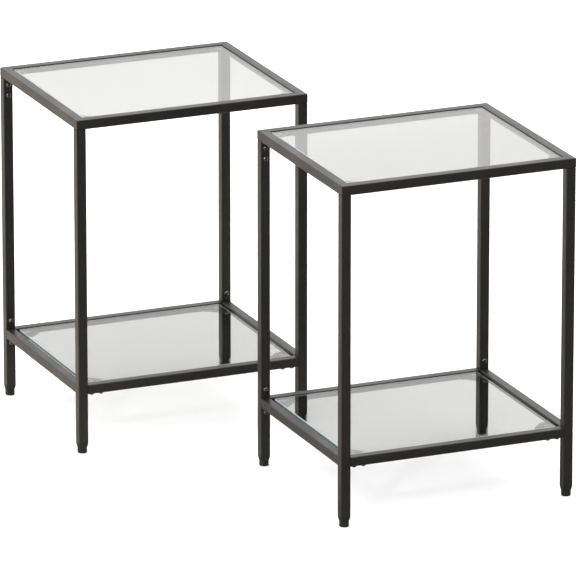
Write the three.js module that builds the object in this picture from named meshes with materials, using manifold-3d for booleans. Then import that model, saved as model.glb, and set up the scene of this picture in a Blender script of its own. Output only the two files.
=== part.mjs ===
// A pair of equal two-tier side tables in square steel tube, with a glass top and a glass shelf.
// Millimetres. Each table is built about the middle of its footprint: x runs along its front rail,
// y towards its back and z up from the floor. The pair's origin is the middle of its box on the floor.
import * as THREE from 'three';
import { mergeVertices } from 'three/addons/utils/BufferGeometryUtils.js';
import Module from 'manifold-3d';

const wasm = await Module();
wasm.setup();

// Overall sizes.
const TABLE_WIDTH = 400;
const TABLE_DEPTH = 340;
const TABLE_HEIGHT = 560;
const SHELF_TOP = 115;

// The rear table stands to the left of the front one, with clear floor between them.
const PAIR_SHIFT_X = 245;
const PAIR_GAP = 158;

// Square tube of the frames and legs.
const TUBE = 16;
const TUBE_WALL = 1.2;
const TUBE_EDGE_RADIUS = 1.5;
const TUBE_BORE_RADIUS = 0.5;

// The shelf frame's rails are welded between its posts, a little back from the posts' faces.
const SHELF_RAIL_SETBACK = 0.3;
const VENT = 6;

// Gap that separate pieces keep where they touch.
const TOUCH_GAP = 0.3;

// Square pegs that join the frames and the legs.
const PEG_CLEARANCE = 0.4;
const PEG_WALL = 2;
const PEG_EDGE_RADIUS = 1;
const TOP_PEG_LENGTH = 40;
const SHELF_PEG_LENGTH = 24;

// Glass panes, and the plates that carry their corners.
const GLASS_THICKNESS = 5;
const GLASS_RECESS = 1.3;
const GLASS_SIDE_GAP = 1;
const SHELF_GLASS_END_GAP = 5.5;
const GLASS_CORNER_RADIUS = 4;
const GLASS_BEVEL = 0.4;
const PAD_HEIGHT = 1.5;
const PLATE_THICKNESS = 1.5;
const TOP_PLATE = { reach: 22, chamfer: 10 };
const SHELF_PLATE = { reach: 36, chamfer: 18 };

// Button-head bolts.
const BOLT_HEAD_RADIUS = 4.5;
const BOLT_HEAD_HEIGHT = 2.8;
const BOLT_HEAD_RIM = 0.6;
const BOLT_SHANK_RADIUS = 2.5;
const BOLT_SHANK_END = 1.5;
const BOLT_HOLE_CLEARANCE = 0.4;
const TOP_BOLT_DROPS = [11, 28.5];
const SHELF_BOLT_RISE = 15;
const SHELF_BOLT_DROP = 7;

// Foot plugs and levelling feet.
const FOOT_INSET = 0.2;
const FOOT_HEIGHT = 9.5;
const FOOT_EDGE = 1.2;
const STUD_RADIUS = 3;
const STUD_LENGTH = 22;
const STUD_CLEARANCE = 0.4;
const COLLAR_HEIGHT = 9;
const COLLAR_TAPER = 2.6;
const PLUG_LENGTH = 16;

// How far a cutting tool runs past the face it opens, and how close two points are to be one.
const CUT_OVERRUN = 1;
const SAME_POINT = 1e-4;

// Facets round a curve.
const EDGE_STEPS = 1;
const ROUND_STEPS = 16;
const COLLAR_STEPS = 32;
const HOLE_STEPS = 10;
const GLASS_CORNER_STEPS = 3;

const WELD = TUBE_WALL / 2;
const TUBE_BORE = TUBE - 2 * TUBE_WALL;
const SHELF_RAIL = TUBE - 2 * SHELF_RAIL_SETBACK;
const SHELF_RAIL_BORE = SHELF_RAIL - 2 * TUBE_WALL;
const PEG = TUBE_BORE - 2 * PEG_CLEARANCE;
const PEG_BORE = PEG - 2 * PEG_WALL;
const TOP_FRAME_BASE = TABLE_HEIGHT - TUBE;
const SHELF_BASE = SHELF_TOP - TUBE;
const LEG_BASE = FOOT_HEIGHT + COLLAR_HEIGHT + 2 * TOUCH_GAP;
const FOOT_RADIUS = TUBE / 2 - FOOT_INSET;
const PAIR_SHIFT_Y = TABLE_DEPTH + PAIR_GAP;
const LEG_X = (TABLE_WIDTH - TUBE) / 2;
const LEG_Y = (TABLE_DEPTH - TUBE) / 2;

const CORNERS = [
  { name: 'fl', x: -1, y: -1 },
  { name: 'fr', x: 1, y: -1 },
  { name: 'bl', x: -1, y: 1 },
  { name: 'br', x: 1, y: 1 },
];

// Finishes.
const POWDER_COAT = { color: 0x262423, roughness: 0.45, metalness: 0.2 };
const CLEAR_GLASS = { color: 0xdfe9e6, roughness: 0.03, metalness: 0, transparent: true, opacity: 0.3 };
const BLACK_PLASTIC = { color: 0x1b1b1b, roughness: 0.6, metalness: 0 };
const BLACK_STEEL = { color: 0x141414, roughness: 0.3, metalness: 0.6 };

// A closed three.js geometry as a solid that can be joined and cut.
function solidOf(geometry) {
  const bare = geometry.clone();
  bare.deleteAttribute('normal');
  bare.deleteAttribute('uv');
  const merged = mergeVertices(bare, SAME_POINT);
  return new wasm.Manifold(new wasm.Mesh({
    numProp: 3,
    vertProperties: new Float32Array(merged.attributes.position.array),
    triVerts: new Uint32Array(merged.index.array),
  }));
}

// A solid as a three.js geometry.
function geometryOf(solid) {
  const mesh = solid.getMesh();
  const geometry = new THREE.BufferGeometry();
  geometry.setAttribute('position', new THREE.BufferAttribute(mesh.vertProperties, 3));
  geometry.setIndex(new THREE.BufferAttribute(mesh.triVerts, 1));
  geometry.computeVertexNormals();
  return geometry;
}

// A rectangle about the origin with its corners rounded.
function roundedRectangle(width, depth, radius, Kind = THREE.Shape) {
  const x = width / 2;
  const y = depth / 2;
  const shape = new Kind();
  shape.moveTo(x, -y + radius);
  shape.lineTo(x, y - radius);
  shape.absarc(x - radius, y - radius, radius, 0, Math.PI / 2, false);
  shape.lineTo(-x + radius, y);
  shape.absarc(-x + radius, y - radius, radius, Math.PI / 2, Math.PI, false);
  shape.lineTo(-x, -y + radius);
  shape.absarc(-x + radius, -y + radius, radius, Math.PI, Math.PI * 1.5, false);
  shape.lineTo(x - radius, -y);
  shape.absarc(x - radius, -y + radius, radius, Math.PI * 1.5, Math.PI * 2, false);
  return shape;
}

// A shape pushed up from one height to another.
function upright(shape, bottom, top) {
  const geometry = new THREE.ExtrudeGeometry(shape, {
    depth: top - bottom,
    bevelEnabled: false,
    curveSegments: EDGE_STEPS,
  });
  return geometry.translate(0, 0, bottom);
}

// A length of square bar with rounded edges, standing up.
function squareBar(side, radius, bottom, top) {
  return solidOf(upright(roundedRectangle(side, side, radius), bottom, top));
}

// A round bar along z.
function roundBar(radius, bottom, top, steps = HOLE_STEPS) {
  const geometry = new THREE.CylinderGeometry(radius, radius, top - bottom, steps);
  return solidOf(geometry.rotateX(Math.PI / 2).translate(0, 0, (top + bottom) / 2));
}

// A square-section bar that runs round a rectangle with mitred corners. A lathe of four steps turns
// the section into a square ring, and its two ends then move apart to the full width.
function mitredRing(width, depth, section, radius, middle) {
  const outline = roundedRectangle(section, section, radius).getPoints(EDGE_STEPS);
  const centre = (depth - TUBE) / 2;
  const profile = outline.map((p) => new THREE.Vector2(Math.SQRT2 * (centre + p.x), middle + p.y));
  profile.push(profile[0].clone());
  const ring = new THREE.LatheGeometry(profile, 4, Math.PI / 4);
  ring.rotateX(Math.PI / 2);
  const place = ring.attributes.position;
  const stretch = (width - depth) / 2;
  for (let i = 0; i < place.count; i += 1) {
    place.setX(i, place.getX(i) + Math.sign(place.getX(i)) * stretch);
  }
  return solidOf(ring);
}

// A plate that fills the inside corner of a frame and carries a corner of the glass.
function cornerPlate(corner, top, size) {
  const reach = size.reach + WELD;
  const shape = new THREE.Shape();
  shape.moveTo(-WELD, -WELD);
  shape.lineTo(reach, -WELD);
  shape.lineTo(reach, reach - size.chamfer);
  shape.lineTo(reach - size.chamfer, reach);
  shape.lineTo(-WELD, reach);
  shape.closePath();
  const turn = Math.atan2(-corner.y, -corner.x) - Math.PI / 4;
  const plate = upright(shape, top - PLATE_THICKNESS, top).rotateZ(turn);
  const inner = { x: LEG_X - TUBE / 2, y: LEG_Y - TUBE / 2 };
  return solidOf(plate.translate(corner.x * inner.x, corner.y * inner.y, 0));
}

// Holes through the inner face of a leg or a peg at the given heights.
function boltHoles(corner, heights) {
  const holes = heights.map((height) => {
    const reach = TUBE / 2 + TOUCH_GAP;
    const hole = new THREE.CylinderGeometry(
      BOLT_SHANK_RADIUS + BOLT_HOLE_CLEARANCE, BOLT_SHANK_RADIUS + BOLT_HOLE_CLEARANCE, reach, HOLE_STEPS);
    return solidOf(hole.translate(0, -corner.y * reach / 2, height));
  });
  return holes.reduce((all, hole) => all.add(hole));
}

const plateTop = (frameTop) => frameTop - GLASS_RECESS - GLASS_THICKNESS - PAD_HEIGHT;
const topBoltHeights = TOP_BOLT_DROPS.map((drop) => TOP_FRAME_BASE - drop);
const upperBoltHeight = SHELF_TOP + SHELF_BOLT_RISE;
const lowerBoltHeight = SHELF_BASE - SHELF_BOLT_DROP;

// Top frame: a hollow mitred ring, corner plates, and hollow pegs that open into the rails.
function topFrame() {
  const middle = TABLE_HEIGHT - TUBE / 2;
  let frame = mitredRing(TABLE_WIDTH, TABLE_DEPTH, TUBE, TUBE_EDGE_RADIUS, middle)
    .subtract(mitredRing(TABLE_WIDTH, TABLE_DEPTH, TUBE_BORE, TUBE_BORE_RADIUS, middle));
  for (const corner of CORNERS) {
    const place = [corner.x * LEG_X, corner.y * LEG_Y, 0];
    const pegEnd = TOP_FRAME_BASE - TOP_PEG_LENGTH;
    const peg = squareBar(PEG, PEG_EDGE_RADIUS, pegEnd, TOP_FRAME_BASE + WELD);
    const bore = squareBar(PEG_BORE, PEG_EDGE_RADIUS, pegEnd - CUT_OVERRUN, middle);
    frame = frame.add(peg.translate(place))
      .subtract(bore.translate(place))
      .subtract(boltHoles(corner, topBoltHeights).translate(place))
      .add(cornerPlate(corner, plateTop(TABLE_HEIGHT), TOP_PLATE));
  }
  return frame;
}

// One bar of the shelf frame, between two posts, with its bore.
function shelfBar(alongX, side, section, radius, length) {
  const shape = roundedRectangle(section, section, radius);
  const bar = upright(shape, -length / 2, length / 2);
  if (alongX) {
    bar.rotateY(Math.PI / 2).translate(0, side * LEG_Y, 0);
  } else {
    bar.rotateX(Math.PI / 2).translate(side * LEG_X, 0, 0);
  }
  return solidOf(bar.translate(0, 0, SHELF_TOP - TUBE / 2));
}

// Shelf frame: corner posts with pegs up and down, hollow rails that vent into them, and corner plates.
function shelfFrame() {
  let frame = null;
  for (const corner of CORNERS) {
    const place = [corner.x * LEG_X, corner.y * LEG_Y, 0];
    const post = squareBar(TUBE, TUBE_EDGE_RADIUS, SHELF_BASE, SHELF_TOP)
      .add(squareBar(PEG, PEG_EDGE_RADIUS, SHELF_BASE - SHELF_PEG_LENGTH, SHELF_TOP + SHELF_PEG_LENGTH))
      .translate(place);
    frame = frame ? frame.add(post) : post;
  }
  for (const side of [-1, 1]) {
    for (const alongX of [true, false]) {
      const span = alongX ? 2 * LEG_X : 2 * LEG_Y;
      const clear = span - TUBE;
      const bore = shelfBar(alongX, side, SHELF_RAIL_BORE, TUBE_BORE_RADIUS, clear);
      const vent = shelfBar(alongX, side, VENT, TUBE_BORE_RADIUS, span - PEG_BORE / 2);
      frame = frame.add(shelfBar(alongX, side, SHELF_RAIL, TUBE_EDGE_RADIUS, clear + 2 * WELD))
        .subtract(bore.add(vent));
    }
  }
  for (const corner of CORNERS) {
    const place = [corner.x * LEG_X, corner.y * LEG_Y, 0];
    const pegReach = SHELF_PEG_LENGTH + CUT_OVERRUN;
    const bore = squareBar(PEG_BORE, PEG_EDGE_RADIUS, SHELF_BASE - pegReach, SHELF_TOP + pegReach);
    frame = frame.subtract(bore.translate(place))
      .subtract(boltHoles(corner, [upperBoltHeight, lowerBoltHeight]).translate(place))
      .add(cornerPlate(corner, plateTop(SHELF_TOP), SHELF_PLATE));
  }
  return frame;
}

// A leg tube with the bolt holes of the pegs inside it.
function legTube(corner, bottom, top, boltHeights) {
  const shape = roundedRectangle(TUBE, TUBE, TUBE_EDGE_RADIUS);
  shape.holes.push(roundedRectangle(TUBE_BORE, TUBE_BORE, TUBE_BORE_RADIUS, THREE.Path));
  return solidOf(upright(shape, bottom, top)).subtract(boltHoles(corner, boltHeights));
}

// A pane that fits inside a frame, with ground edges. Its bevel adds to the outline on every side.
function glassPane(frameTop, endGap) {
  const width = TABLE_WIDTH - 2 * (TUBE + endGap + GLASS_BEVEL);
  const depth = TABLE_DEPTH - 2 * (TUBE + GLASS_SIDE_GAP + GLASS_BEVEL);
  const shape = roundedRectangle(width, depth, GLASS_CORNER_RADIUS);
  const pane = new THREE.ExtrudeGeometry(shape, {
    depth: GLASS_THICKNESS - 2 * GLASS_BEVEL,
    bevelThickness: GLASS_BEVEL,
    bevelSize: GLASS_BEVEL,
    bevelSegments: 1,
    curveSegments: GLASS_CORNER_STEPS,
  });
  return solidOf(pane.translate(0, 0, frameTop - GLASS_RECESS - GLASS_THICKNESS + GLASS_BEVEL));
}

// A plug pressed into the leg: a tapered collar below the tube, a shank inside it, a bore for the stud.
function footPlug() {
  const collarBase = FOOT_HEIGHT + TOUCH_GAP;
  const collarTop = collarBase + COLLAR_HEIGHT;
  const corner = TUBE * Math.SQRT1_2;
  const taper = new THREE.CylinderGeometry(corner, corner - COLLAR_TAPER, COLLAR_HEIGHT, COLLAR_STEPS);
  const cone = solidOf(taper.rotateX(Math.PI / 2).translate(0, 0, (collarBase + collarTop) / 2));
  const collar = squareBar(TUBE, TUBE_EDGE_RADIUS, collarBase, collarTop).intersect(cone);
  const shank = squareBar(PEG, PEG_EDGE_RADIUS, collarTop - CUT_OVERRUN, collarTop + PLUG_LENGTH);
  const boreTop = FOOT_HEIGHT + STUD_LENGTH + STUD_CLEARANCE;
  return collar.add(shank).subtract(roundBar(STUD_RADIUS + STUD_CLEARANCE, collarBase - CUT_OVERRUN, boreTop));
}

// A round foot with a soft lower edge, on a stud.
function levellingFoot() {
  const stud = FOOT_HEIGHT + STUD_LENGTH;
  const softEdge = [0, 45, 90].map((degrees) => {
    const angle = THREE.MathUtils.degToRad(degrees);
    return [FOOT_RADIUS - FOOT_EDGE * (1 - Math.sin(angle)), FOOT_EDGE * (1 - Math.cos(angle))];
  });
  const outline = [
    [0, 0], ...softEdge, [FOOT_RADIUS, FOOT_HEIGHT], [STUD_RADIUS, FOOT_HEIGHT], [STUD_RADIUS, stud], [0, stud],
  ];
  const profile = outline.map(([radius, height]) => new THREE.Vector2(radius, height));
  return solidOf(new THREE.LatheGeometry(profile, ROUND_STEPS).rotateX(Math.PI / 2));
}

// A button-head bolt that points into the leg; z = 0 is under its head.
function bolt() {
  const shank = TUBE_WALL + PEG_CLEARANCE + PEG_WALL + BOLT_SHANK_END;
  const dome = [0, 30, 60].map((degrees) => {
    const angle = THREE.MathUtils.degToRad(degrees);
    const rise = (BOLT_HEAD_HEIGHT - BOLT_HEAD_RIM) * Math.sin(angle);
    return [BOLT_HEAD_RADIUS * Math.cos(angle), BOLT_HEAD_RIM + rise];
  });
  const outline = [
    [0, -shank], [BOLT_SHANK_RADIUS, -shank], [BOLT_SHANK_RADIUS, 0], [BOLT_HEAD_RADIUS, 0],
    ...dome, [0, BOLT_HEAD_HEIGHT],
  ];
  const profile = outline.map(([radius, height]) => new THREE.Vector2(radius, height));
  return solidOf(new THREE.LatheGeometry(profile, HOLE_STEPS).rotateX(Math.PI / 2));
}

// A named mesh with its own finish.
function piece(name, solid, finish) {
  const mesh = new THREE.Mesh(geometryOf(solid), new THREE.MeshStandardMaterial(finish));
  mesh.name = name;
  return mesh;
}

// The pieces on one corner: two leg tubes, the top bolts, the plug and the foot.
function legPieces(table, corner) {
  const leg = new THREE.Group();
  leg.position.set(corner.x * LEG_X, corner.y * LEG_Y, 0);
  const upperTube = legTube(
    corner, SHELF_TOP + TOUCH_GAP, TOP_FRAME_BASE - TOUCH_GAP, [...topBoltHeights, upperBoltHeight]);
  const lowerTube = legTube(corner, LEG_BASE, SHELF_BASE - TOUCH_GAP, [lowerBoltHeight]);
  leg.add(piece(`${table}_upper_leg_${corner.name}`, upperTube, POWDER_COAT));
  leg.add(piece(`${table}_lower_leg_${corner.name}`, lowerTube, POWDER_COAT));
  leg.add(piece(`${table}_foot_plug_${corner.name}`, footPlug(), BLACK_PLASTIC));
  leg.add(piece(`${table}_levelling_foot_${corner.name}`, levellingFoot(), BLACK_PLASTIC));
  topBoltHeights.forEach((height, index) => {
    const fastener = piece(`${table}_top_bolt_${corner.name}_${index + 1}`, bolt(), BLACK_STEEL);
    fastener.position.set(0, -corner.y * (TUBE / 2 + TOUCH_GAP), height);
    fastener.rotation.x = corner.y * Math.PI / 2;
    leg.add(fastener);
  });
  return leg;
}

function sideTable(name) {
  const table = new THREE.Group();
  table.add(piece(`${name}_top_frame`, topFrame(), POWDER_COAT));
  table.add(piece(`${name}_shelf_frame`, shelfFrame(), POWDER_COAT));
  table.add(piece(`${name}_top_glass`, glassPane(TABLE_HEIGHT, GLASS_SIDE_GAP), CLEAR_GLASS));
  table.add(piece(`${name}_shelf_glass`, glassPane(SHELF_TOP, SHELF_GLASS_END_GAP), CLEAR_GLASS));
  for (const corner of CORNERS) {
    table.add(legPieces(name, corner));
  }
  return table;
}

const pair = new THREE.Group();
const frontTable = sideTable('front');
frontTable.position.set(PAIR_SHIFT_X / 2, -PAIR_SHIFT_Y / 2, 0);
const rearTable = sideTable('rear');
rearTable.position.set(-PAIR_SHIFT_X / 2, PAIR_SHIFT_Y / 2, 0);
pair.add(frontTable, rearTable);

export default pair;
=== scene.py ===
"""Looks of a pair of equal two-tier side tables: black powder-coated square tube, glass tops and shelves.

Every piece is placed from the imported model's own boxes, in metres, +Z up. Surfaces are grids of points
worked out with numpy: an outline carried through a stack of rings, or a profile turned about an axis.
"""

import math

import bpy
import numpy as np
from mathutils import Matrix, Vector


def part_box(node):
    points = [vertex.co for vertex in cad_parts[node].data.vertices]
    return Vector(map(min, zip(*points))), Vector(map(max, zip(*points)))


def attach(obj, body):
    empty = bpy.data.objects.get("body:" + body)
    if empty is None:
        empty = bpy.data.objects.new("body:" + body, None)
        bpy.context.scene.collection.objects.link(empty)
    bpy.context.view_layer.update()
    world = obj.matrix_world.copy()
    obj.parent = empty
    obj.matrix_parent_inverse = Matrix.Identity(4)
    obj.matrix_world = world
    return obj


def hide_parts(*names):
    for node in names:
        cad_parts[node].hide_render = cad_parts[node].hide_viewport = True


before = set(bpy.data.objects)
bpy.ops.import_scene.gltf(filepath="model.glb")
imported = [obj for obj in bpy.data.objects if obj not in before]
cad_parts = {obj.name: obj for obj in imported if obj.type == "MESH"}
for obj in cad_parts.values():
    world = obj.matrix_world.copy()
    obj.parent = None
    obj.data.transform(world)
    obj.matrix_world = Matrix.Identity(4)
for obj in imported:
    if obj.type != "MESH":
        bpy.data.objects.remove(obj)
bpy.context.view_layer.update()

CAMERA_AZIMUTH = -23.0
CAMERA_ELEVATION = 17.5
CAMERA_DISTANCE = 12.87
CAMERA_AIM = (0.006, -0.008, 0.266)
CAMERA_LENS = 500.0
CAMERA_SIGHT = 100.0


def camera():
    """A long lens that looks down at the pair from the front left, without roll."""
    lens = bpy.data.cameras.new("camera")
    lens.lens = CAMERA_LENS
    lens.clip_end = CAMERA_SIGHT
    made = bpy.data.objects.new("camera", lens)
    bpy.context.scene.collection.objects.link(made)
    turn, rise = math.radians(CAMERA_AZIMUTH), math.radians(CAMERA_ELEVATION)
    away = Vector((math.sin(turn) * math.cos(rise), -math.cos(turn) * math.cos(rise), math.sin(rise)))
    made.location = Vector(CAMERA_AIM) + away * CAMERA_DISTANCE
    made.rotation_euler = (-away).to_track_quat("-Z", "Y").to_euler()
    bpy.context.scene.camera = made


camera()

MM = 0.001
TABLES = ("rear", "front")
CORNERS = {"fl": (-1, -1), "fr": (1, -1), "bl": (-1, 1), "br": (1, 1)}
PANES = ("top", "shelf")

# Square tube and its joints.
TUBE_WALL = 1.2 * MM
TUBE_EDGE = 1.5 * MM
SAWN_EDGE = 0.15 * MM
MITRE_HALF_WIDTH = 0.22 * MM
MITRE_DEPTH = 0.12 * MM
RAIL_SETBACK = 0.3 * MM
RAIL_WELD = 0.6 * MM
RAIL_END_GAP = 0.35 * MM
RAIL_END_EDGE = 0.9 * MM
PEG_WALL = 2.0 * MM
PEG_EDGE = 1.0 * MM
PEG_CLEARANCE = 0.4 * MM
WELD_RADIUS = 1.1 * MM
WELD_RIPPLE = 1.6 * MM
WELD_RIPPLE_DEPTH = 0.12
LEVEL_GAP = 0.3 * MM

# Glass and what carries it.
GLASS_CORNER = 4.0 * MM
PENCIL_EDGE = 1.4 * MM
ARRIS = 0.4 * MM
PLATE_THICKNESS = 1.5 * MM
PLATE_SIZES = {"top": (22.0 * MM, 10.0 * MM), "shelf": (36.0 * MM, 18.0 * MM)}
PLATE_ROUNDING = 3.0 * MM
PLATE_EASE = 0.2 * MM
PLATE_WELD_INSET = 4.0 * MM
PAD_RADIUS = 7.0 * MM
PAD_INSETS = {"top": 9.5 * MM, "shelf": 14.0 * MM}
PAD_HEIGHT = 1.5 * MM
PAD_PROFILE = ((0.55, 0.0), (0.7, 0.1 * MM), (0.75, 0.7 * MM), (0.96, 1.15 * MM), (1.0, 1.35 * MM),
               (0.97, 1.45 * MM))

# Fasteners.
SHELF_BOLT_RISE = 15.0 * MM
SHELF_BOLT_DROP = 7.0 * MM
RAIL_BOLT_PLACES = (9.0 * MM, 25.0 * MM)
SHELF_BOLT_HEAD = 2.9 * MM
RAIL_BOLT_HEAD = 3.6 * MM
SHORT_SHANK = 4.5 * MM
BOLT_RIM = 0.5 * MM
HEAD_CHAMFER = (0.25 * MM, 0.2 * MM)
HEAD_SEAT = 0.05 * MM
DOME_END = 60
DOME_STEPS = (14, 28, 42, 54)
SHANK_SHARE = 0.56
SHANK_TIP_SHARE = 0.5
SHANK_POINT = 0.6 * MM
SOCKET_ACROSS_FLATS = 3.2 * MM
SOCKET_DEPTH = 1.7 * MM
SOCKET_RINGS = ((1.10, 0.0), (1.0, 0.15 * MM), (1.0, SOCKET_DEPTH), (0.5, SOCKET_DEPTH + 0.2 * MM))

# Levelling foot.
STUD_RADIUS = 3.0 * MM
STUD_PITCH = 1.0 * MM
STUD_CLEARANCE = 0.4 * MM
STUD_THREAD_DEPTH = 0.35 * MM
STUD_PLAIN_END = 1.5 * MM
STUD_POINT = 0.6 * MM
FOOT_EDGE = 1.6 * MM
FOOT_SHOULDER = ((0.0, 1.4 * MM), (0.3 * MM, 0.9 * MM), (1.0 * MM, 0.3 * MM))
COLLAR_TAPER = 3.0 * MM
COLLAR_CURVE = 1.2
COLLAR_SQUARENESS = 14.0
SLEEVE_OVERLAP = 0.5 * MM


# ---------------------------------------------------------------- outlines and profiles

def rounded_outline(width, depth, radius, steps=5):
    """A rectangle about the origin with round corners: each corner is a quarter circle of that radius
    about a centre set in by the radius from both sides."""
    angle = np.linspace(0, math.pi / 2, steps + 1)
    turns = np.arange(4)[:, None] * math.pi / 2
    signs = np.array([(1, 1), (-1, 1), (-1, -1), (1, -1)], float)
    centre = signs * (width / 2 - radius, depth / 2 - radius)
    x = centre[:, 0:1] + radius * np.cos(turns + angle)
    y = centre[:, 1:2] + radius * np.sin(turns + angle)
    return np.stack([x.ravel(), y.ravel()], -1)


def circle(radius, steps):
    """Points evenly round a circle."""
    angle = np.arange(steps) * 2 * math.pi / steps
    return np.stack([radius * np.cos(angle), radius * np.sin(angle)], -1)


def stack(outlines, heights):
    """Rings of one point count, each at its own height."""
    rings = [np.column_stack([o, np.full(len(o), z)]) for o, z in zip(outlines, heights)]
    return np.array(rings)


def inset_stack(width, depth, radius, steps_in_and_up, steps=5):
    """Rings of a rounded rectangle, each drawn in by a distance and set at a height."""
    sharpest = 0.05 * MM
    outlines = [rounded_outline(width - 2 * d, depth - 2 * d, max(radius - d, sharpest), steps)
                for d, _ in steps_in_and_up]
    return stack(outlines, [z for _, z in steps_in_and_up])


def turned(profile, steps=40):
    """Rings of a turned piece: a circle of each radius at each height."""
    return stack([circle(r, steps) for r, _ in profile], [z for _, z in profile])


# ---------------------------------------------------------------- shells

class Shells:
    """Closed shells gathered into one mesh. Each is a grid of rings; faces that look inwards are turned."""

    def __init__(self):
        self.points = []
        self.faces = []
        self.slots = []
        self.count = 0

    def add(self, rings, ends="flat", slot=0):
        """rings is (rings, points, 3). ends is 'flat' (one face closes each end), 'point' (a fan to the
        middle of each end) or 'loop' (the last ring joins the first). slot is one material slot, or one
        for each strip between two rings; flat and pointed ends always have slot 0."""
        n, m = rings.shape[:2]
        points = rings.reshape(-1, 3)
        row = np.arange(n if ends == "loop" else n - 1)[:, None] * m
        following = np.roll(np.arange(n) * m, -1)[: len(row)][:, None]
        near = np.arange(m)[None, :]
        far = (near + 1) % m
        quads = np.stack([row + near, row + far, following + far, following + near], -1).reshape(-1, 4)
        faces = quads.tolist()
        slots = (np.zeros((len(row), m), int) + np.reshape(slot, (-1, 1))).ravel().tolist()
        caps = []
        if ends == "flat":
            caps = [np.arange(m)[::-1].tolist(), ((n - 1) * m + np.arange(m)).tolist()]
        if ends == "point":
            tips = np.array([rings[0].mean(0), rings[-1].mean(0)])
            points = np.vstack([points, tips])
            first, last = n * m, n * m + 1
            start, end = np.arange(m), (n - 1) * m + np.arange(m)
            caps = np.stack([np.full(m, first), np.roll(start, -1), start], -1).tolist()
            caps += np.stack([np.full(m, last), end, np.roll(end, -1)], -1).tolist()
        faces += caps
        slots += [0] * len(caps)
        if shell_volume(points, faces) < 0:
            faces = [face[::-1] for face in faces]
        self.points.append(points)
        self.faces += [[i + self.count for i in face] for face in faces]
        self.slots += slots
        self.count += len(points)
        return self

    def piece(self, name, body, materials, smooth_below=50.0):
        """The gathered shells as an object that rides on a body, with area-weighted smooth shading."""
        mesh = bpy.data.meshes.new(name)
        mesh.from_pydata(np.vstack(self.points).tolist(), [], self.faces)
        for finish in materials:
            mesh.materials.append(finish)
        mesh.polygons.foreach_set("material_index", self.slots)
        mesh.polygons.foreach_set("use_smooth", [True] * len(self.faces))
        mesh.set_sharp_from_angle(angle=math.radians(smooth_below))
        mesh.update()
        made = bpy.data.objects.new(name, mesh)
        bpy.context.scene.collection.objects.link(made)
        weights = made.modifiers.new("face_weighted", "WEIGHTED_NORMAL")
        weights.keep_sharp = True
        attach(made, body)
        return made


def shell_volume(points, faces):
    """The volume inside a closed shell: the sum over its faces' triangles of a . (b x c) / 6."""
    triangles = [(f[0], f[i], f[i + 1]) for f in faces for i in range(1, len(f) - 1)]
    a, b, c = np.moveaxis(points[np.array(triangles)], 1, 0)
    return float(np.einsum("ij,ij->i", a, np.cross(b, c)).sum()) / 6


def laid(rings, axis, place):
    """Rings built about z, laid with z along another axis and moved to a place."""
    turns = {
        "+x": ((0, 0, 1), (1, 0, 0), (0, 1, 0)),
        "+y": ((0, 1, 0), (0, 0, 1), (1, 0, 0)),
        "-y": ((1, 0, 0), (0, 0, -1), (0, 1, 0)),
        "-z": ((1, 0, 0), (0, -1, 0), (0, 0, -1)),
    }
    return rings @ np.array(turns[axis], float).T + np.array(place, float)


# ---------------------------------------------------------------- materials

def new_group(name, inputs, outputs):
    """An empty shader node group with named sockets; every input is a number with a default."""
    group = bpy.data.node_groups.new(name, "ShaderNodeTree")
    for socket, default in inputs:
        made = group.interface.new_socket(socket, in_out="INPUT", socket_type="NodeSocketFloat")
        made.default_value = default
    for socket, kind in outputs:
        group.interface.new_socket(socket, in_out="OUTPUT", socket_type=kind)
    return group, group.nodes.new("NodeGroupInput"), group.nodes.new("NodeGroupOutput")


def feed(tree, socket, value):
    """Link an input to another node's output, or give it a value."""
    if isinstance(value, bpy.types.NodeSocket):
        tree.links.new(value, socket)
    else:
        socket.default_value = value


def wired(tree, kind, **inputs):
    """A node of a kind, its inputs fed by name."""
    made = tree.nodes.new(kind)
    for name, value in inputs.items():
        feed(tree, made.inputs[name.replace("_", " ")], value)
    return made


def math_node(tree, operation, first, second):
    """One step of arithmetic: each term is a number or another node's output."""
    made = tree.nodes.new("ShaderNodeMath")
    made.operation = operation
    feed(tree, made.inputs[0], first)
    feed(tree, made.inputs[1], second)
    return made.outputs[0]


def ramp(tree, value, start, end, low=0.0, high=1.0):
    """A value's run from start to end, stretched to run from low to high and held within them."""
    made = wired(tree, "ShaderNodeMapRange", Value=value, From_Min=start, From_Max=end,
                 To_Min=low, To_Max=high)
    return made.outputs["Result"]


def grain_group():
    """Fine surface grain: small even noise for the height, a slow noise for the tone, both from 0 to 1."""
    group, given, result = new_group(
        "fine_grain",
        [("Grain size", 0.001), ("Cloud size", 0.05)],
        [("Height", "NodeSocketFloat"), ("Tone", "NodeSocketFloat")])
    place = wired(group, "ShaderNodeTexCoord").outputs["Object"]
    for socket, output, detail in (("Grain size", "Height", 3.0), ("Cloud size", "Tone", 2.0)):
        scale = math_node(group, "DIVIDE", 1.0, given.outputs[socket])
        noise = wired(group, "ShaderNodeTexNoise", Vector=place, Scale=scale, Detail=detail, Roughness=0.55)
        group.links.new(noise.outputs["Fac"], result.inputs[output])
    return group


def dust_group():
    """Settled dust and handling marks: a patchy mask that is strongest on faces that look up."""
    group, given, result = new_group(
        "settled_dust", [("Amount", 0.1), ("Patch size", 0.03)], [("Mask", "NodeSocketFloat")])
    place = wired(group, "ShaderNodeTexCoord").outputs["Object"]
    scale = math_node(group, "DIVIDE", 1.0, given.outputs["Patch size"])
    patches = wired(group, "ShaderNodeTexNoise", Vector=place, Scale=scale, Detail=6.0, Roughness=0.7)
    patchy = ramp(group, patches.outputs["Fac"], 0.45, 0.75)
    normal = wired(group, "ShaderNodeNewGeometry").outputs["Normal"]
    up = wired(group, "ShaderNodeSeparateXYZ", Vector=normal).outputs["Z"]
    facing = ramp(group, up, 0.2, 1.0, low=0.25)
    mask = math_node(group, "MULTIPLY", math_node(group, "MULTIPLY", patchy, facing), given.outputs["Amount"])
    group.links.new(mask, result.inputs["Mask"])
    return group


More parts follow.
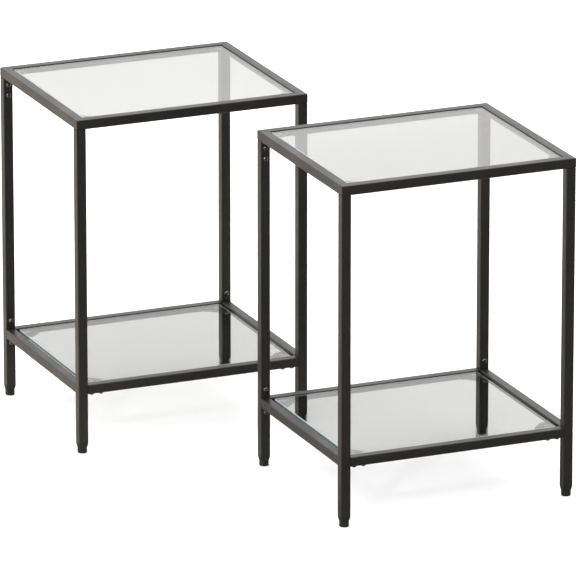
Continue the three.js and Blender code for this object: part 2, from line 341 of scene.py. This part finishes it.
GRAIN = grain_group()
DUST = dust_group()
DUST_COLOUR = (0.32, 0.31, 0.29)


def placed_group(tree, group, **values):
    """A shared group placed in a material with its own values."""
    made = tree.nodes.new("ShaderNodeGroup")
    made.node_tree = group
    for key, value in values.items():
        made.inputs[key.replace("_", " ")].default_value = value
    return made


def new_material(name):
    """A new finish, its node tree and its shader."""
    finish = bpy.data.materials.new(name)
    finish.use_nodes = True
    return finish, finish.node_tree, finish.node_tree.nodes["Principled BSDF"]


def blend_colour(tree, amount, first, second):
    """Two colours mixed by an amount: each is three numbers or another node's output."""
    mix = tree.nodes.new("ShaderNodeMix")
    mix.data_type = "RGBA"
    tree.links.new(amount, mix.inputs["Factor"])
    for name, colour in (("A", first), ("B", second)):
        feed(tree, mix.inputs[name], (*colour, 1) if isinstance(colour, tuple) else colour)
    return mix.outputs["Result"]


def coated(name, dark, light, roughness, spread, grain, bump, specular, metallic=0.0, dust=0.0):
    """An opaque finish with cloudy tone, uneven gloss and a fine grain."""
    finish, tree, shader = new_material(name)
    texture = placed_group(tree, GRAIN, Grain_size=grain, Cloud_size=0.06)
    tone = blend_colour(tree, texture.outputs["Tone"], dark, light)
    gloss = ramp(tree, texture.outputs["Tone"], 0.3, 0.7, roughness - spread, roughness + spread)
    if dust:
        mask = placed_group(tree, DUST, Amount=dust, Patch_size=0.02).outputs["Mask"]
        tone = blend_colour(tree, mask, tone, DUST_COLOUR)
        gloss = math_node(tree, "ADD", gloss, mask)
    relief = wired(
        tree, "ShaderNodeBump", Height=texture.outputs["Height"], Strength=bump, Distance=grain / 6)
    tree.links.new(tone, shader.inputs["Base Color"])
    tree.links.new(gloss, shader.inputs["Roughness"])
    tree.links.new(relief.outputs["Normal"], shader.inputs["Normal"])
    shader.inputs["Specular IOR Level"].default_value = specular
    shader.inputs["Metallic"].default_value = metallic
    return finish


def clear(name, tint, roughness, smear, index, passes_light, see_through=1.0):
    """A clear finish, faintly smeared, that lets lamps' light through to what is below it."""
    finish, tree, shader = new_material(name)
    texture = placed_group(tree, GRAIN, Grain_size=0.012, Cloud_size=0.12)
    haze = ramp(tree, texture.outputs["Tone"], 0.45, 0.8, roughness, roughness + smear)
    tree.links.new(haze, shader.inputs["Roughness"])
    shader.inputs["Base Color"].default_value = (*tint, 1)
    shader.inputs["Transmission Weight"].default_value = see_through
    shader.inputs["IOR"].default_value = index
    shadow_ray = wired(tree, "ShaderNodeLightPath").outputs["Is Shadow Ray"]
    blocked = math_node(tree, "SUBTRACT", 1.0, math_node(tree, "MULTIPLY", shadow_ray, passes_light))
    tree.links.new(blocked, shader.inputs["Alpha"])
    return finish


POWDER_COAT = coated("satin_black_powder_coat", (0.0085, 0.0078, 0.0072), (0.0125, 0.0115, 0.0105),
                     roughness=0.40, spread=0.05, grain=0.0009, bump=0.35, specular=0.45, dust=0.012)
BOLT_BLACK = coated("black_oxide_bolt", (0.12, 0.12, 0.124), (0.17, 0.17, 0.175),
                    roughness=0.14, spread=0.05, grain=0.0006, bump=0.12, specular=0.5, metallic=1.0)
FOOT_BLACK = coated("moulded_black_plastic", (0.008, 0.008, 0.0085), (0.014, 0.014, 0.014),
                    roughness=0.55, spread=0.06, grain=0.0007, bump=0.5, specular=0.35, dust=0.02)
GLASS = clear("float_glass", (0.55, 0.553, 0.556), roughness=0.0, smear=0.012, index=1.52, passes_light=0.97)
GLASS_SIDE = clear("green_glass_side", (0.18, 0.26, 0.25), roughness=0.3, smear=0.08, index=1.52,
                   passes_light=0.4, see_through=0.35)
GLASS_BEVEL = clear("ground_glass_bevel", (0.40, 0.48, 0.47), roughness=0.35, smear=0.1, index=1.52,
                    passes_light=0.4, see_through=0.25)
PAD_CLEAR = clear("soft_clear_pad", (0.62, 0.64, 0.66), roughness=0.3, smear=0.1, index=1.42,
                  passes_light=0.5)


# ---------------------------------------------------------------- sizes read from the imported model

def span(node):
    """The two far corners of a node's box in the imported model."""
    low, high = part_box(node)
    return np.array(low), np.array(high)


def leg_axes(table):
    """The middle of each leg on the floor, and the outer side of its tube."""
    axes = {}
    for corner in CORNERS:
        low, high = span(f"{table}_upper_leg_{corner}")
        axes[corner] = ((low + high) / 2)[:2]
    return axes, high[0] - low[0]


def peg_side(side):
    """The outer side of a peg that slips into a tube."""
    return side - 2 * (TUBE_WALL + PEG_CLEARANCE)


# ---------------------------------------------------------------- frames

def tube_shell(side, bottom, top, wall=TUBE_WALL, edge=TUBE_EDGE):
    """A hollow square tube with its cut ends eased: up the outside, over the end, down the bore."""
    inner = wall - SAWN_EDGE
    path = [(SAWN_EDGE, bottom), (0, bottom + SAWN_EDGE), (0, top - SAWN_EDGE), (SAWN_EDGE, top),
            (inner, top), (wall, top - SAWN_EDGE), (wall, bottom + SAWN_EDGE), (inner, bottom)]
    return inset_stack(side, side, edge, path)


def mitred_rails(width, depth, side, middle):
    """Four rails as one ring. The tube's section is carried round the rectangle; at each corner it
    stops a little short of the mitre, sinks slightly on the mitre itself, and starts again beyond it."""
    section = rounded_outline(side, side, TUBE_EDGE)
    sunk = rounded_outline(side - 2 * MITRE_DEPTH, side - 2 * MITRE_DEPTH, TUBE_EDGE - MITRE_DEPTH)
    corners = np.array([(1, -1), (1, 1), (-1, 1), (-1, -1)], float)
    along = np.array([(1, 0), (0, 1), (-1, 0), (0, -1)], float)
    rings = []
    for sign, before, after in zip(corners, along, np.roll(along, -1, axis=0)):
        for outline, shift in ((section, -before), (sunk, 0 * before), (section, after)):
            reach = np.array([width, depth]) / 2 - side / 2 + outline[:, 0:1]
            flat = sign * reach + shift * MITRE_HALF_WIDTH
            rings.append(np.column_stack([flat, middle + outline[:, 1]]))
    return np.array(rings)


def corner_plate(direction, inner_corner, top, reach, cut):
    """A flat plate in the inside corner of a frame: a square with its free corner cut off and rounded."""
    bends = np.array([(0, 0), (reach, 0), (reach, reach - cut), (reach - cut, reach), (0, reach)])
    outline = rounded_polygon(bends, [0, 0, PLATE_ROUNDING, PLATE_ROUNDING, 0])
    flat = np.array(inner_corner) - np.array(direction) * outline
    base = top - PLATE_THICKNESS
    heights = [base, base + PLATE_EASE, top - PLATE_EASE, top]
    middle = flat.mean(0)
    shrunk = middle + (flat - middle) * (1 - PLATE_EASE / reach)
    return stack([shrunk, flat, flat, shrunk], heights)


def rounded_polygon(bends, radii, steps=6):
    """A polygon whose corners are curves: between the two points that lie a set distance either side of
    a corner, a quadratic curve with the corner as its control point."""
    points = []
    for i, (bend, radius) in enumerate(zip(bends, radii)):
        before, after = bends[i - 1], bends[(i + 1) % len(bends)]
        if not radius:
            points.append(bend[None, :])
            continue
        start = bend + (before - bend) / np.linalg.norm(before - bend) * radius
        end = bend + (after - bend) / np.linalg.norm(after - bend) * radius
        t = np.linspace(0, 1, steps + 1)[:, None]
        points.append((1 - t) ** 2 * start + 2 * t * (1 - t) * bend + t ** 2 * end)
    return np.vstack(points)


def weld_bead(start, end):
    """A weld bead: a round bar from start to end whose radius ripples by a cosine and tapers at its ends."""
    start, end = np.array(start, float), np.array(end, float)
    length = float(np.linalg.norm(end - start))
    rings_a_ripple, least_rings, steps = 6, 12, 12
    count = max(least_rings, int(length / (WELD_RIPPLE / rings_a_ripple)))
    t = np.linspace(0, 1, count)
    ripple = 1 + WELD_RIPPLE_DEPTH * np.cos(2 * math.pi * t * length / WELD_RIPPLE)
    taper = np.sqrt(np.clip(1 - (2 * t - 1) ** 8, 0.02, 1))
    along = (end - start) / length
    side = np.cross(along, (0.0, 0.0, 1.0) if abs(along[2]) < 0.9 else (1.0, 0.0, 0.0))
    side /= np.linalg.norm(side)
    up = np.cross(side, along)
    ring = circle(1.0, steps)
    radial = ring[:, 0:1] * side + ring[:, 1:2] * up
    centres = start + t[:, None] * (end - start)
    return centres[:, None, :] + (WELD_RADIUS * ripple * taper)[:, None, None] * radial[None, :, :]


def plates(table, pane, axes, side):
    """The four corner plates under a pane, each welded along both rails."""
    reach, cut = PLATE_SIZES[pane]
    plate_top = span(f"{table}_{pane}_glass")[0][2] - PAD_HEIGHT
    for corner, direction in CORNERS.items():
        sign = np.array(direction, float)
        inner = axes[corner] - sign * side / 2
        shells = Shells().add(corner_plate(sign, inner, plate_top, reach, cut))
        low = plate_top - PLATE_THICKNESS
        for unit in (np.array([1.0, 0.0]), np.array([0.0, 1.0])):
            a = inner - sign * unit * PLATE_WELD_INSET
            b = inner - sign * unit * (reach - PLATE_WELD_INSET)
            shells.add(weld_bead((*a, low), (*b, low)), ends="point")
        made = shells.piece(f"{table}_{pane}_plate_{corner}", f"{table}_table", [POWDER_COAT])


def top_frame(table, axes, side):
    """The mitred ring with its four hollow pegs, which reach down into the legs."""
    low, high = span(f"{table}_top_frame")
    middle_xy = (low + high)[:2] / 2
    rails = mitred_rails(high[0] - low[0], high[1] - low[1], side, high[2] - side / 2)
    shells = Shells().add(rails + np.array([*middle_xy, 0]), ends="loop")
    for x, y in axes.values():
        peg = tube_shell(peg_side(side), low[2], high[2] - side + TUBE_WALL, PEG_WALL, PEG_EDGE)
        shells.add(peg + np.array([x, y, 0]), ends="loop")
    made = shells.piece(f"{table}_top_frame_tube", f"{table}_table", [POWDER_COAT])
    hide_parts(f"{table}_top_frame")
    plates(table, "top", axes, side)


def shelf_levels(table):
    """The height of the shelf frame's underside and top, between the lower and the upper legs."""
    lower_leg_top = span(f"{table}_lower_leg_fl")[1][2]
    upper_leg_foot = span(f"{table}_upper_leg_fl")[0][2]
    return lower_leg_top + LEVEL_GAP, upper_leg_foot - LEVEL_GAP


def shelf_frame(table, axes, side):
    """Four posts with pegs up and down, and four rails between them, set back from their faces. The side
    rails are welded on; the front and back ones end in eased caps, a hair clear of the posts."""
    low, high = span(f"{table}_shelf_frame")
    bottom, top = shelf_levels(table)
    shells = Shells()
    for x, y in axes.values():
        place = np.array([x, y, 0])
        shells.add(tube_shell(side, bottom, top) + place, ends="loop")
        shells.add(tube_shell(peg_side(side), low[2], high[2], PEG_WALL, PEG_EDGE) + place, ends="loop")
    rail = side - 2 * RAIL_SETBACK
    height = (bottom + top) / 2
    for first, second, axis, clear_end, eased in (
            ("fl", "fr", "+x", RAIL_END_GAP, RAIL_END_EDGE), ("bl", "br", "+x", RAIL_END_GAP, RAIL_END_EDGE),
            ("fl", "bl", "+y", -RAIL_WELD, SAWN_EDGE), ("fr", "br", "+y", -RAIL_WELD, SAWN_EDGE)):
        a, b = axes[first], axes[second]
        half = np.abs(b - a).max() / 2 - side / 2 - clear_end
        bend = 0.3 * eased
        ends = [(eased, -half), (bend, bend - half), (0.0, eased - half),
                (0.0, half - eased), (bend, half - bend), (eased, half)]
        bar = inset_stack(rail, rail, TUBE_EDGE, ends)
        shells.add(laid(bar, axis, (*((a + b) / 2), height)))
    made = shells.piece(f"{table}_shelf_frame_tube", f"{table}_table", [POWDER_COAT])
    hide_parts(f"{table}_shelf_frame")
    plates(table, "shelf", axes, side)


def legs(table, axes, side):
    """The upper and lower leg tubes."""
    for part in ("upper_leg", "lower_leg"):
        for corner, (x, y) in axes.items():
            node = f"{table}_{part}_{corner}"
            low, high = span(node)
            rings = tube_shell(side, low[2], high[2]) + np.array([x, y, 0])
            made = Shells().add(rings, ends="loop").piece(f"{node}_tube", f"{table}_table", [POWDER_COAT])
            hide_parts(node)


# ---------------------------------------------------------------- bolts

def bolt_rings(radius, height, shank, steps=36):
    """A button head with a hex socket. From the tip of the shank up to the head's rim, over the dome,
    which is a quarter ellipse, and down a six-sided hole: its radius at an angle is half the size
    across flats over the cosine of the angle from the nearest flat's middle."""
    angle = np.arange(steps) * 2 * math.pi / steps
    off_flat = (angle + math.pi / 6) % (math.pi / 3) - math.pi / 6
    hexagon = SOCKET_ACROSS_FLATS / 2 / np.cos(off_flat)
    around = np.stack([np.cos(angle), np.sin(angle)], -1)
    tip, thread = SHANK_TIP_SHARE * radius, SHANK_SHARE * radius
    inset, rise = HEAD_CHAMFER
    profile = [(tip, -shank), (thread, -shank + SHANK_POINT), (thread, -HEAD_SEAT), (radius - inset, 0.0),
               (radius, rise), (radius, BOLT_RIM)]
    full_dome = (height - BOLT_RIM) / math.sin(math.radians(DOME_END))
    profile += [(radius * math.cos(a), BOLT_RIM + full_dome * math.sin(a)) for a in np.radians(DOME_STEPS)]
    outlines = [r * around for r, _ in profile]
    heights = [z for _, z in profile]
    for grow, depth in SOCKET_RINGS:
        outlines.append((hexagon * grow)[:, None] * around)
        heights.append(height - depth)
    return stack(outlines, heights)


def top_bolts(table):
    """The bolts that hold the legs to the top frame's pegs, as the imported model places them."""
    for corner, (_, back) in CORNERS.items():
        for number in (1, 2):
            node = f"{table}_top_bolt_{corner}_{number}"
            low, high = span(node)
            centre = (low + high) / 2
            radius = (high[0] - low[0]) / 2
            leg_low, leg_high = span(f"{table}_upper_leg_{corner}")
            face = leg_low[1] if back > 0 else leg_high[1]
            reach = face - low[1] if back > 0 else high[1] - face
            shank = (high[1] - low[1]) - reach
            rings = laid(bolt_rings(radius, reach, shank), "-y" if back > 0 else "+y",
                         (centre[0], face, centre[2]))
            made = Shells().add(rings, ends="point").piece(f"{node}_head", f"{table}_table", [BOLT_BLACK])
            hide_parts(node)


def extra_bolts(table, axes, side):
    """Bolts of the shelf joints, one above and one below the shelf frame, and the bolts that stand up
    into the ends of its front and back rails."""
    bottom, top = shelf_levels(table)
    low, high = span(f"{table}_top_bolt_fl_1")
    radius = (high[0] - low[0]) / 2
    for corner, (x, y) in axes.items():
        across, back = CORNERS[corner]
        axis = "-y" if back > 0 else "+y"
        for label, height in (("upper", top + SHELF_BOLT_RISE), ("lower", bottom - SHELF_BOLT_DROP)):
            rings = laid(bolt_rings(radius, SHELF_BOLT_HEAD, SHORT_SHANK), axis,
                         (x, y - back * side / 2, height))
            made = Shells().add(rings, ends="point").piece(
                f"{table}_shelf_bolt_{corner}_{label}", f"{table}_table", [BOLT_BLACK])
        for number, place in enumerate(RAIL_BOLT_PLACES, 1):
            rings = laid(bolt_rings(radius, RAIL_BOLT_HEAD, SHORT_SHANK), "-z",
                         (x - across * (side / 2 + place), y, bottom + RAIL_SETBACK))
            made = Shells().add(rings, ends="point").piece(
                f"{table}_rail_bolt_{corner}_{number}", f"{table}_table", [BOLT_BLACK])


# ---------------------------------------------------------------- feet

def collar_rings(side, bottom, top, steps=64):
    """A square collar whose corners a cone trims: at each height the outline is a superellipse of the
    tube's side, drawn in to the cone's radius where it would stand outside it."""
    angle = np.arange(steps) * 2 * math.pi / steps
    around = np.stack([np.cos(angle), np.sin(angle)], -1)
    powers = np.abs(around) ** COLLAR_SQUARENESS
    square = (side / 2) / powers.sum(1) ** (1 / COLLAR_SQUARENESS)
    corner = side * math.sqrt(0.5)
    levels = np.array([0.0, 0.04, 0.25, 0.5, 0.75, 0.96, 1.0])
    drawn = np.array([0.35, 0.0, 0.0, 0.0, 0.0, 0.0, 0.3]) * MM
    cone = corner - COLLAR_TAPER * (1 - levels) ** COLLAR_CURVE
    radius = np.minimum(square[None, :], cone[:, None]) - drawn[:, None]
    return stack([r[:, None] * around for r in radius], bottom + levels * (top - bottom))


def feet(table, axes, side):
    """Each leg's pressed-in plug, bored for the stud, and its levelling foot: a turned pad on a
    threaded stud."""
    sleeve_side = peg_side(side)
    bore = STUD_RADIUS + STUD_CLEARANCE
    for corner, (x, y) in axes.items():
        place = np.array([x, y, 0])
        plug = f"{table}_foot_plug_{corner}"
        low, high = span(plug)
        leg_end = span(f"{table}_lower_leg_{corner}")[0][2]
        collar = collar_rings(side, low[2], leg_end)
        hole = stack([circle(bore, collar.shape[1])] * 2, [leg_end, low[2]])
        shells = Shells().add(np.vstack([collar, hole]) + place, ends="loop")
        sleeve = tube_shell(sleeve_side, leg_end - SLEEVE_OVERLAP, high[2], sleeve_side / 2 - bore, PEG_EDGE)
        shells.add(sleeve + place, ends="loop")
        made = shells.piece(f"{plug}_moulding", f"{table}_table", [FOOT_BLACK])
        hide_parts(plug)

        foot = f"{table}_levelling_foot_{corner}"
        low, high = span(foot)
        radius = (high[0] - low[0]) / 2
        pad_top = span(plug)[0][2]
        turns = int((high[2] - pad_top - STUD_PLAIN_END) / STUD_PITCH)
        thread = [(STUD_RADIUS - STUD_THREAD_DEPTH * (i % 2), pad_top + (0.5 + i / 2) * STUD_PITCH)
                  for i in range(2 * turns)]
        sole = [(radius - FOOT_EDGE * (1 - math.sin(a)), FOOT_EDGE * (1 - math.cos(a)))
                for a in np.radians([0, 22, 45, 67, 90])]
        shoulder = [(radius - inset, pad_top - drop) for inset, drop in FOOT_SHOULDER]
        root = (STUD_RADIUS, shoulder[-1][1])
        tip = (STUD_RADIUS - STUD_POINT, high[2])
        rings = turned(sole + shoulder + [root] + thread + [tip]) + place
        made = Shells().add(rings, ends="flat").piece(
            f"{foot}_pad", foot, [FOOT_BLACK], smooth_below=40.0)
        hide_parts(foot)


# ---------------------------------------------------------------- glass

def glass(table, pane, axes, side):
    """A pane with rounded corners. Its rim is a quarter circle under the top face, a flat side, and a
    smaller quarter circle over the bottom face. Four clear pads lie between it and the corner plates."""
    node = f"{table}_{pane}_glass"
    low, high = span(node)
    middle = (low + high) / 2
    lift = np.linspace(0, math.pi / 2, 4)
    upper = [(PENCIL_EDGE * (1 - math.cos(a)), high[2] - PENCIL_EDGE * (1 - math.sin(a))) for a in lift]
    lower = [(ARRIS * (1 - math.cos(a)), low[2] + ARRIS * (1 - math.sin(a))) for a in lift[::-1]]
    rings = inset_stack(high[0] - low[0], high[1] - low[1], GLASS_CORNER, lower + upper, steps=8)
    strips = [1] * len(lower) + [2] * (len(upper) - 1)
    shells = Shells().add(rings + np.array([middle[0], middle[1], 0]), slot=strips)
    made = shells.piece(f"{node}_pane", node, [GLASS, GLASS_SIDE, GLASS_BEVEL], smooth_below=60.0)
    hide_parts(node)
    plate_top = low[2] - PAD_HEIGHT
    for corner, direction in CORNERS.items():
        sign = np.array(direction, float)
        x, y = axes[corner] - sign * (side / 2 + PAD_INSETS[pane])
        profile = [(PAD_RADIUS * share, height) for share, height in PAD_PROFILE]
        rings = turned(profile, 32) + np.array([x, y, plate_top])
        made = Shells().add(rings).piece(
            f"{table}_{pane}_pad_{corner}", f"{table}_table", [PAD_CLEAR], smooth_below=40.0)


# ---------------------------------------------------------------- studio

FLOOR_REACH = 60.0
FLOOR_SEEN = (0.94, 0.94, 0.94)
# Painted shade: the floor's colour where it is seen through glass, darker than where it is seen directly.
FLOOR_PAINTED_SHADE_THROUGH_GLASS = (0.55, 0.553, 0.553)
FLOOR_GLOW = 0.08
# Painted reflection: the floor's colour in glossy reflections, dim near the camera and warm and lit behind
# the tables.
PAINTED_REFLECTION_NEAR = (0.11, 0.105, 0.10)
PAINTED_REFLECTION_FAR = (0.60, 0.55, 0.49)
LAMP_SIZE = 0.25
LAMP_POWER = 13.0
LAMP_PLACE = Vector((-2.0, -2.4, 2.2))
LAMP_AIM = Vector((0.0, 0.0, 0.3))
PANEL_LEFT, PANEL_RIGHT = -2.0, 3.2
PANEL_FOOT, PANEL_HEAD = 0.36, 2.2
PANEL_BACK = 1.7


def flat_piece(name, corners, finish):
    """A flat four-cornered piece of the studio in one finish."""
    mesh = bpy.data.meshes.new(name)
    mesh.from_pydata(corners, [], [(0, 1, 2, 3)])
    mesh.materials.append(finish)
    made = bpy.data.objects.new(name, mesh)
    bpy.context.scene.collection.objects.link(made)
    return made


def floor():
    """A wide pale floor that glows faintly to the camera. Where it is seen through glass it is painted a
    little darker, a painted shade. Glossy coats mirror it as a painted reflection: warm and lit behind the
    tables, and dim on the camera's side."""
    finish, tree, shader = new_material("pale_floor")
    shader.inputs["Roughness"].default_value = 1.0
    shader.inputs["Specular IOR Level"].default_value = 0.0
    place = wired(tree, "ShaderNodeTexCoord").outputs["Object"]
    depth = wired(tree, "ShaderNodeSeparateXYZ", Vector=place).outputs["Y"]
    # Painted reflection: the colour that glossy coats see, dim near the camera and lit behind the tables.
    painted_reflection = blend_colour(tree, ramp(tree, depth, -0.6, 0.3), PAINTED_REFLECTION_NEAR, PAINTED_REFLECTION_FAR)
    ray = wired(tree, "ShaderNodeLightPath").outputs
    # Painted shade: the floor is painted darker where it is seen through glass.
    direct = blend_colour(tree, ray["Is Transmission Ray"], FLOOR_SEEN, FLOOR_PAINTED_SHADE_THROUGH_GLASS)
    reflected = math_node(tree, "SUBTRACT", ray["Is Glossy Ray"], ray["Is Transmission Ray"])
    tree.links.new(blend_colour(tree, reflected, direct, painted_reflection), shader.inputs["Base Color"])
    shader.inputs["Emission Color"].default_value = (1, 1, 1, 1)
    glow = math_node(tree, "MULTIPLY", ray["Is Camera Ray"], FLOOR_GLOW)
    tree.links.new(glow, shader.inputs["Emission Strength"])
    far = FLOOR_REACH
    made = flat_piece("floor", [(-far, -far, 0), (far, -far, 0), (far, far, 0), (-far, far, 0)], finish)


def surroundings():
    """Studio light from all round: bright behind, on the left and overhead, dim on the camera's side."""
    world = bpy.data.worlds.new("studio")
    world.use_nodes = True
    bpy.context.scene.world = world
    tree = world.node_tree
    place = wired(tree, "ShaderNodeTexCoord").outputs["Generated"]
    axes = wired(tree, "ShaderNodeSeparateXYZ", Vector=place).outputs
    behind = ramp(tree, axes["Y"], -0.35, 0.45, low=0.2, high=1.25)
    left = ramp(tree, axes["X"], -0.1, -0.8)
    above = ramp(tree, axes["Z"], 0.45, 0.9, high=2.2)
    level = math_node(tree, "ADD", math_node(tree, "ADD", behind, left), above)
    background = tree.nodes["Background"]
    background.inputs["Color"].default_value = (1.0, 0.998, 0.994, 1)
    tree.links.new(level, background.inputs["Strength"])


def key_lamp():
    """A small soft lamp on the camera's side, high on the left, for the bright points on the bolts."""
    lamp = bpy.data.lights.new("key_lamp", "AREA")
    lamp.shape = "DISK"
    lamp.size = LAMP_SIZE
    lamp.energy = LAMP_POWER
    made = bpy.data.objects.new("key_lamp", lamp)
    bpy.context.scene.collection.objects.link(made)
    made.location = LAMP_PLACE
    made.rotation_euler = (LAMP_AIM - LAMP_PLACE).to_track_quat("-Z", "Y").to_euler()


def back_panel():
    """A hanging light panel behind the tables, brighter towards its top. Its lower edge is above
    everything the camera sees, so it shows only in the glass and in the sheen on upward faces. Its back
    is clear, so it hides nothing from behind."""
    finish, tree, shader = new_material("light_panel")
    place = wired(tree, "ShaderNodeTexCoord").outputs["Object"]
    height = wired(tree, "ShaderNodeSeparateXYZ", Vector=place).outputs["Z"]
    glow = ramp(tree, height, 0.65, 1.08, low=1.22, high=1.55)
    shader.inputs["Base Color"].default_value = (0.02, 0.02, 0.02, 1)
    shader.inputs["Specular IOR Level"].default_value = 0.0
    shader.inputs["Emission Color"].default_value = (1.0, 0.99, 0.975, 1)
    tree.links.new(glow, shader.inputs["Emission Strength"])
    from_behind = wired(tree, "ShaderNodeNewGeometry").outputs["Backfacing"]
    tree.links.new(math_node(tree, "SUBTRACT", 1.0, from_behind), shader.inputs["Alpha"])
    outline = [(PANEL_LEFT, PANEL_FOOT), (PANEL_RIGHT, PANEL_FOOT), (PANEL_RIGHT, PANEL_HEAD),
               (PANEL_LEFT, PANEL_HEAD)]
    made = flat_piece("back_panel", [(x, PANEL_BACK, z) for x, z in outline], finish)


def studio():
    """Everything round the tables, and plain colours with no film look."""
    floor()
    back_panel()
    surroundings()
    key_lamp()
    bpy.context.scene.view_settings.view_transform = "Standard"
    bpy.context.scene.view_settings.look = "None"


# ---------------------------------------------------------------- the pair

for table_name in TABLES:
    leg_places, tube_side = leg_axes(table_name)
    top_frame(table_name, leg_places, tube_side)
    shelf_frame(table_name, leg_places, tube_side)
    legs(table_name, leg_places, tube_side)
    top_bolts(table_name)
    extra_bolts(table_name, leg_places, tube_side)
    feet(table_name, leg_places, tube_side)
    for pane_name in PANES:
        glass(table_name, pane_name, leg_places, tube_side)

studio()
